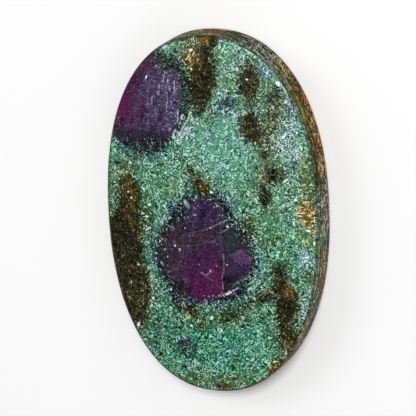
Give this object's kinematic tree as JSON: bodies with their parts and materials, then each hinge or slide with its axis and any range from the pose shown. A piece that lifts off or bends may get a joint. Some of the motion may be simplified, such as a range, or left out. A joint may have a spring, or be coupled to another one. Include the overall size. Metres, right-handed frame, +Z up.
{
  "type": "polished ruby in fuchsite cabochon",
  "caption": "Long oval polished stone slab: a low dome over an upright ground wall and a flat back, purple corundum crystals in green chromium mica.",
  "frame": {"origin": "middle of the flat back, on the surface the stone lies on", "axes": "+Z up out of the dome, +Y along the oval's length, +X across its width"},
  "size_m": [0.0256, 0.042, 0.0054],
  "materials": {
    "ruby_in_fuchsite": "polished"
  },
  "bodies": {
    "root": {"ruby_fuchsite_cabochon": "ruby_in_fuchsite"}
  },
  "joints": []
}
